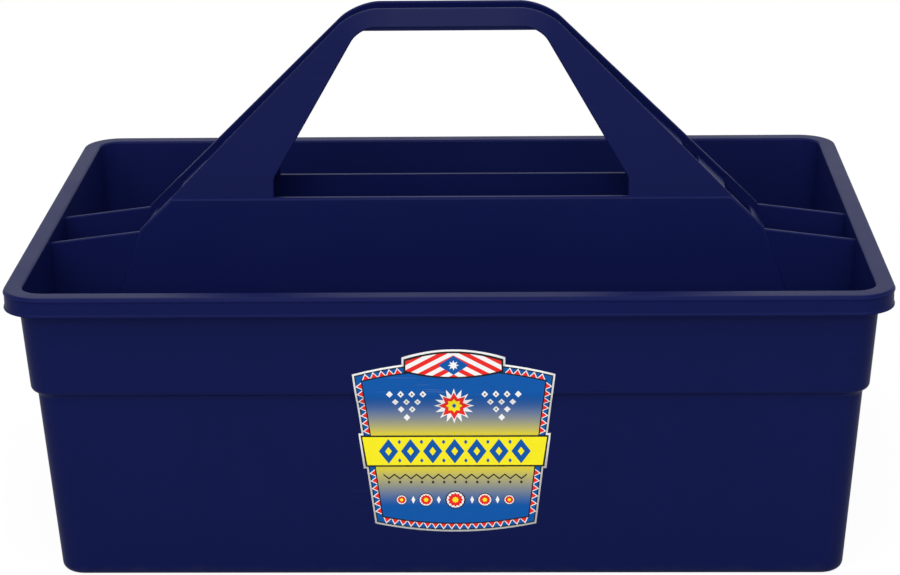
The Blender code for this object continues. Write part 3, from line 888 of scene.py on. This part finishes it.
class TOTE_OT_label(bpy.types.Operator):
    """Printed shield label with a striped crest, a band of lozenges and a pennant border"""

    bl_idname = "tote.add_label"
    bl_label = "Add label"

    def execute(self, context):
        self.layers = {}
        colours = context.scene.tote_colours
        white, black, blue, red, yellow = (self.ink(f"label_{name}", getattr(colours, f"label_{name}"))
                                           for name in ("white", "black", "blue", "red", "yellow"))
        self.frames(white, black, blue, red, colours)
        rim = OUTLINE_STEP
        inked = OUTLINE_STEP + HEAVY_INK_STEP
        self.print_stack(7, None, (crest_outline(rim), black), (crest_outline(inked), self.chevron_ink(colours)))
        self.print_stack(9, self.row(1, 0.0, CREST_MIDDLE), (lozenge(7.5, 5.2), blue), (rosette(2.8, 8, 0.5), white))
        self.print_stack(7, None, (band_outline(rim), black), (band_outline(inked), yellow))
        self.print_stack(9, self.row(7, BAND_DIAMOND_PITCH, BAND_MIDDLE),
                         (lozenge(4.9, 6.9), blue), (lozenge(1.7, 2.4), yellow))
        for rise in (5.2, -5.2):
            self.print_stack(9, self.row(6, BAND_DIAMOND_PITCH, BAND_MIDDLE + rise), (lozenge(0.9, 1.3), blue))
        self.print_stack(7, self.row(1, 0.0, SUNBURST_HEIGHT), (rosette(10.2, 16, 0.62), white),
                         (rosette(8.0, 8, 0.6), red), (rosette(4.2, 8, 0.7), yellow), (lozenge(1.1, 1.6), blue))
        self.print_stack(7, self.trellis(4), (lozenge(1.7, 1.9), white))
        self.print_stack(7, self.trellis(3), (lozenge(0.6, 0.7), black))
        self.print_stack(7, self.row(1, 0.0, ZIGZAG_HEIGHT), (zigzag(36.5, 13, 2.4, 0.9), black))
        self.print_stack(7, self.row(13, 5.615, DOT_HEIGHT), (lozenge(0.8, 0.9), black))
        for radius, count, pitch in ((5.4, 1, 0.0), (4.0, 2, 30.0), (3.0, 2, 55.0)):
            self.print_stack(7, self.row(count, pitch, FLOWER_HEIGHT),
                             (rosette(radius, 16, 0.88), black), (rosette(0.86 * radius, 16, 0.92), white),
                             (rosette(0.74 * radius, 12, 0.8), red), (rosette(0.34 * radius, 8, 0.7), yellow))
        for pitch in (17.0, 43.0):
            self.print_stack(7, self.row(2, pitch, FLOWER_HEIGHT), (lozenge(1.0, 2.2), white))
        label = self.join_layers()
        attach(label, "root")
        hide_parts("label")
        return {"FINISHED"}

    def frames(self, white, black, blue, red, colours):
        """Prints the label's white and black outlines, its pennant border and the field inside."""
        for k, outline in enumerate((shield_outline, crest_outline, band_outline)):
            self.print_shape(outline(0.0), white, 0.3 * k)
            self.print_shape(outline(OUTLINE_STEP), black, 1.0 + 0.3 * k)
        self.print_shape(shield_outline(OUTLINE_STEP + INK_STEP), blue, 2)
        self.print_stack(3, self.pennant_places(), ([(2.1, 0.0), (0.0, 3.2), (-2.1, 0.0)], white),
                         ([(1.55, 0.0), (0.0, 2.4), (-1.55, 0.0)], red))
        self.print_stack(5, None, (shield_outline(BORDER_WIDTH - INK_STEP), black),
                         (shield_outline(BORDER_WIDTH), self.field_ink(colours)))

    def row(self, count, pitch, z):
        """Places in equal steps about the label's centre line at one height."""
        return [(pitch * (k - (count - 1) / 2), z, 0.0) for k in range(count)]

    def trellis(self, count):
        """Places of two hanging triangles, one each side of the middle."""
        places = []
        for line in range(count):
            for k in range(count - line):
                x = TRELLIS_START + TRELLIS_PITCH * (k + line / 2)
                z = TRELLIS_TOP - TRELLIS_DROP * line
                places += [(x, z, 0.0), (-x, z, 0.0)]
        return places

    def pennant_places(self):
        """Places and turns of the border's pennants, which point outwards all the way round."""
        places = []
        inset = BORDER_WIDTH - INK_STEP
        rise = (BASE_HEIGHT - BASE_MIDDLE) / SIDE_X_AT_BASE ** 2
        for x, low, turn in self.row(18, 4.12, 0.0):
            places.append((x, BASE_MIDDLE + inset + rise * x ** 2, math.pi + math.atan(2.0 * rise * x)))
        drop = (TOP_MIDDLE - TOP_CORNER_HEIGHT) / side_x(TOP_CORNER_HEIGHT) ** 2
        for k in range(5):
            x = CREST_HALF_WIDTH + 1.9 + 4.0 * k
            turn = math.atan(-2.0 * drop * x)
            z = TOP_MIDDLE - inset - drop * x ** 2
            places += [(x, z, turn), (-x, z, -turn)]
        turn = math.pi / 2 + math.atan(SIDE_LEAN)
        heights = [BAND_LOW - 2.5 - 4.3 * k for k in range(6)]
        heights += [BAND_HIGH + 1.6 + 4.27 * k for k in range(7)]
        for z in heights:
            x = side_x(z) - SIDE_SHARE * inset
            places += [(x, z, -turn), (-x, z, turn)]
        return places

    def print_stack(self, layer, places, *prints):
        """Prints shapes one over the other at the same places, from a layer upwards."""
        for k, (outline, ink) in enumerate(prints):
            self.print_shape(outline, ink, layer + k, places or ((0.0, 0.0, 0.0),))

    def print_shape(self, outline, ink, layer, places=((0.0, 0.0, 0.0),)):
        """Flat shape of one ink, copied to its places on the label and kept with its layer."""
        curve = bpy.data.curves.new("print", "CURVE")
        curve.dimensions = "2D"
        curve.fill_mode = "BOTH"
        spline = curve.splines.new("POLY")
        spline.points.add(len(outline) - 1)
        for point, (x, z) in zip(spline.points, outline):
            point.co = (x * MM, z * MM, 0.0, 1.0)
        spline.use_cyclic_u = True
        shape = bpy.data.objects.new("print", curve)
        bpy.context.scene.collection.objects.link(shape)
        select_only(shape)
        bpy.ops.object.convert(target="MESH")
        bpy.context.object.data.materials.append(ink)
        for k, (x, z, turn) in enumerate(places):
            if k > 0:
                bpy.ops.object.duplicate(linked=False)
            copy = bpy.context.object
            copy.rotation_euler = (math.pi / 2, -turn, 0.0)
            copy.location = ((LABEL_CENTRE + x) * MM, -TUB_HIGH.y, z * MM)
            self.layers.setdefault(layer, []).append(copy)

    def join_layers(self):
        """Lays each layer on the front wall, a hair above the last, and joins them into one label."""
        bridge = [BRIDGE_FOOT + (BRIDGE_HEAD - BRIDGE_FOOT) * k / BRIDGE_STEPS for k in range(BRIDGE_STEPS + 1)]
        bed = self.label_bed(bridge)
        label = None
        for layer, shapes in sorted(self.layers.items()):
            sheet = self.join_all(shapes)
            self.lay_on_bed(sheet, bed, bridge, LABEL_LIFT + layer * LAYER_LIFT)
            if layer < 1:
                apply_modifier(sheet, "SOLIDIFY", thickness=LABEL_LIFT, offset=-1.0)
            label = self.join_all([label, sheet]) if label else sheet
        bpy.data.objects.remove(bed)
        label.name = label.data.name = "printed_label"
        return label

    def join_all(self, shapes):
        """Joins flat shapes into the first of them, with their places in its mesh."""
        select_only(shapes[0])
        for shape in shapes[1:]:
            shape.select_set(True)
        apply_place()
        if len(shapes) > 1:
            bpy.ops.object.join()
        return shapes[0]

    def label_bed(self, bridge):
        """Sheet that follows the front wall and bridges its step in a shallow curve."""
        bed = start_sheet("label_bed", math.pi / 2)
        pick("EDGE", lambda edge: middle(edge).z < -0.4)
        self.place_on_wall(BASE_MIDDLE - 2.0, 0.0)
        pick("EDGE", lambda edge: middle(edge).z > 0.4)
        self.place_on_wall(bridge[0], 0.0)
        for k, z in enumerate(bridge[1:]):
            share = (k + 1) / BRIDGE_STEPS
            bpy.ops.mesh.extrude_region_move()
            self.place_on_wall(z, share * share * (3.0 - 2.0 * share))
        bpy.ops.mesh.extrude_region_move()
        self.place_on_wall(CREST_TOP + 2.0, 1.0)
        deselect_all()
        return bed

    def place_on_wall(self, z, climb):
        """Moves the selected level edge to a height on the wall's outer face, with its share of the step."""
        now = selected_points()[0]
        reach = FLOOR_HALF_LENGTH + WALL_DRAFT * z * MM + STEP_OUT * climb - (TUB_HIGH.x - TUB_HIGH.y)
        bpy.ops.transform.translate(value=(0.0, -reach - now.y, z * MM - now.z))

    def lay_on_bed(self, sheet, bed, bridge, lift):
        """Bends a flat sheet over the wall, a lift above it."""
        bpy.ops.object.mode_set(mode="EDIT")
        bpy.ops.mesh.select_all(action="SELECT")
        bpy.ops.mesh.remove_doubles(threshold=1e-6)
        score(z * MM for z in bridge)
        pick("FACE", lambda face: face.normal.y > 0.0)
        bpy.ops.mesh.flip_normals()
        apply_modifier(sheet, "SHRINKWRAP", target=bed, wrap_method="PROJECT",
                       use_project_y=True, use_negative_direction=True, use_positive_direction=True,
                       wrap_mode="ABOVE_SURFACE", offset=lift)
        bpy.ops.object.shade_smooth_by_angle(angle=SMOOTH_ANGLE)

    def ink(self, name, colour):
        """Printed ink under a clear film, of slightly uneven density."""
        finish = Finish(name)
        density = finish.noise(scale=160.0, detail=5.0, seed=21.0)
        return self.under_film(finish, finish.blend(density, scaled(colour, 0.96), scaled(colour, 1.03)))

    def under_film(self, finish, colour):
        """Gives an ink its colour, and its film an uneven gloss, a faint waviness and hairline scratches."""
        scratches = finish.arithmetic("MULTIPLY", finish.hairlines(24.0), 0.12)
        finish.feed(finish.shader, "Base Color", finish.blend(scratches, colour, (0.7, 0.7, 0.7, 1.0)))
        gloss = finish.noise(scale=45.0, detail=4.0, seed=22.0)
        finish.feed(finish.shader, "Roughness", finish.spread(gloss, 0.26, 0.38))
        finish.feed(finish.shader, "Specular IOR Level", 0.15)
        finish.bump(finish.noise(scale=320.0, detail=3.0, seed=23.0), strength=0.08, distance=0.1 * MM)
        return finish.material

    def field_ink(self, colours):
        """Ink of the label's field: blue that turns to gold towards the band and back to blue."""
        finish = Finish("label_field")
        rising = finish.spread(finish.axis("Z"), 0.0, 1.0, *GOLD_FADE_IN)
        falling = finish.spread(finish.axis("Z"), 0.0, 1.0, *GOLD_FADE_OUT)
        gold = finish.arithmetic("MULTIPLY", finish.arithmetic("POWER", rising, GOLD_FADE_IN_POWER),
                                 finish.arithmetic("POWER", falling, GOLD_FADE_OUT_POWER))
        return self.under_film(finish, finish.blend(gold, colours.label_blue, colours.label_gold))

    def chevron_ink(self, colours):
        """Ink of the crest: red and white chevrons that rise to its middle."""
        finish = Finish("label_chevrons")
        fall = finish.arithmetic("MULTIPLY", finish.distance("X", LABEL_CENTRE * MM), CHEVRON_SLOPE)
        rise = finish.arithmetic("ADD", finish.axis("Z"), fall)
        phase = finish.arithmetic("FRACT", finish.arithmetic("DIVIDE", rise, CHEVRON_PITCH))
        stripe = finish.spread(phase, 0.0, 1.0, 0.48, 0.52)
        return self.under_film(finish, finish.blend(stripe, colours.label_white, colours.label_red))


class TOTE_OT_stage(bpy.types.Operator):
    """White floor and surround, soft lamps and the camera at the photograph's angle"""

    bl_idname = "tote.add_stage"
    bl_label = "Add stage"

    def execute(self, context):
        deselect_all()
        bpy.ops.mesh.primitive_plane_add(size=FLOOR_SIZE)
        floor = context.object
        floor.name = "studio_floor"
        floor.data.materials.append(self.white_floor())
        self.world(context)
        for name, place, size, power in LAMPS:
            self.lamp(name, place, size, power)
        self.camera(context)
        context.scene.view_settings.view_transform = "Standard"
        return {"FINISHED"}

    def white_floor(self):
        """Matt floor that the camera sees as nearly white outside the soft shadow."""
        floor = Finish("white_floor")
        floor.feed(floor.shader, "Base Color", FLOOR_GREY)
        floor.feed(floor.shader, "Roughness", 0.9)
        floor.feed(floor.shader, "Specular IOR Level", 0.0)
        glow = floor.add("ShaderNodeEmission", {"Strength": FLOOR_GLOW})
        rays = floor.add("ShaderNodeLightPath", {}).outputs
        seen = floor.arithmetic("MULTIPLY", rays["Is Camera Ray"], FLOOR_SEEN_SHARE)
        share = floor.arithmetic("MULTIPLY_ADD", rays["Is Glossy Ray"], FLOOR_MIRRORED_SHARE, seen)
        mix = floor.add("ShaderNodeMixShader", {"Fac": share, 1: floor.shader.outputs["BSDF"],
                                                2: glow.outputs["Emission"]})
        floor.feed(floor.nodes["Material Output"], "Surface", mix.outputs["Shader"])
        return floor.material

    def world(self, context):
        """White surround that is seen and mirrored at full strength, and lights the object more softly."""
        world = bpy.data.worlds.new("studio_world")
        context.scene.world = world
        world.use_nodes = True
        sheet = NodeSheet(world.node_tree)
        background = sheet.nodes["Background"]
        rays = sheet.add("ShaderNodeLightPath", {}).outputs
        seen = sheet.arithmetic("MAXIMUM", rays["Is Camera Ray"], rays["Is Glossy Ray"])
        sheet.feed(background, "Color", (1.0, 1.0, 1.0, 1.0))
        sheet.feed(background, "Strength", sheet.spread(seen, SURROUND_LIGHT, 1.0, 0.0, 1.0))

    def lamp(self, name, place, size, power):
        """Rectangular soft lamp aimed at the tote."""
        light = bpy.data.lights.new(name, "AREA")
        light.shape = "RECTANGLE"
        light.size, light.size_y = size
        light.energy = power
        lamp = bpy.data.objects.new(name, light)
        lamp.location = place
        aim = Vector(LAMP_TARGET) - Vector(place)
        lamp.rotation_euler = aim.to_track_quat("-Z", "Y").to_euler()
        bpy.context.scene.collection.objects.link(lamp)

    def camera(self, context):
        """Camera turned by its yaw, pitch and roll."""
        camera = bpy.data.objects.new("camera", bpy.data.cameras.new("camera"))
        camera.data.sensor_width = 36.0
        camera.data.lens = CAMERA_LENS
        turn = (Matrix.Rotation(CAMERA_YAW, 4, "Z") @ Matrix.Rotation(math.pi / 2 - CAMERA_PITCH, 4, "X")
                @ Matrix.Rotation(CAMERA_ROLL, 4, "Z"))
        camera.matrix_world = Matrix.Translation(CAMERA_PLACE) @ turn
        context.scene.collection.objects.link(camera)
        context.scene.camera = camera


class TOTE_PT_panel(bpy.types.Panel):
    """Buttons of the tote's pieces"""

    bl_label = "Grooming Tote"
    bl_space_type = "VIEW_3D"
    bl_region_type = "UI"
    bl_category = "Grooming Tote"

    def draw(self, context):
        layout = self.layout
        for group in (context.scene.tote_sizes, context.scene.tote_colours):
            for name in type(group).__annotations__:
                layout.prop(group, name)
        for operator in OPERATORS:
            layout.operator(operator.bl_idname)


OPERATORS = (TOTE_OT_tub, TOTE_OT_divider, TOTE_OT_wings, TOTE_OT_pocket_floors, TOTE_OT_label, TOTE_OT_stage)
CLASSES = (ToteSizes, ToteColours, *OPERATORS, TOTE_PT_panel)


def register():
    for item in CLASSES:
        bpy.utils.register_class(item)
    bpy.types.Scene.tote_sizes = PointerProperty(type=ToteSizes)
    bpy.types.Scene.tote_colours = PointerProperty(type=ToteColours)


def unregister():
    del bpy.types.Scene.tote_colours
    del bpy.types.Scene.tote_sizes
    for item in reversed(CLASSES):
        bpy.utils.unregister_class(item)


def main():
    register()
    bpy.ops.tote.add_tub()
    bpy.ops.tote.add_divider()
    bpy.ops.tote.add_wings()
    bpy.ops.tote.add_pocket_floors()
    bpy.ops.tote.add_label()
    bpy.ops.tote.add_stage()


if __name__ == "__main__":
    main()
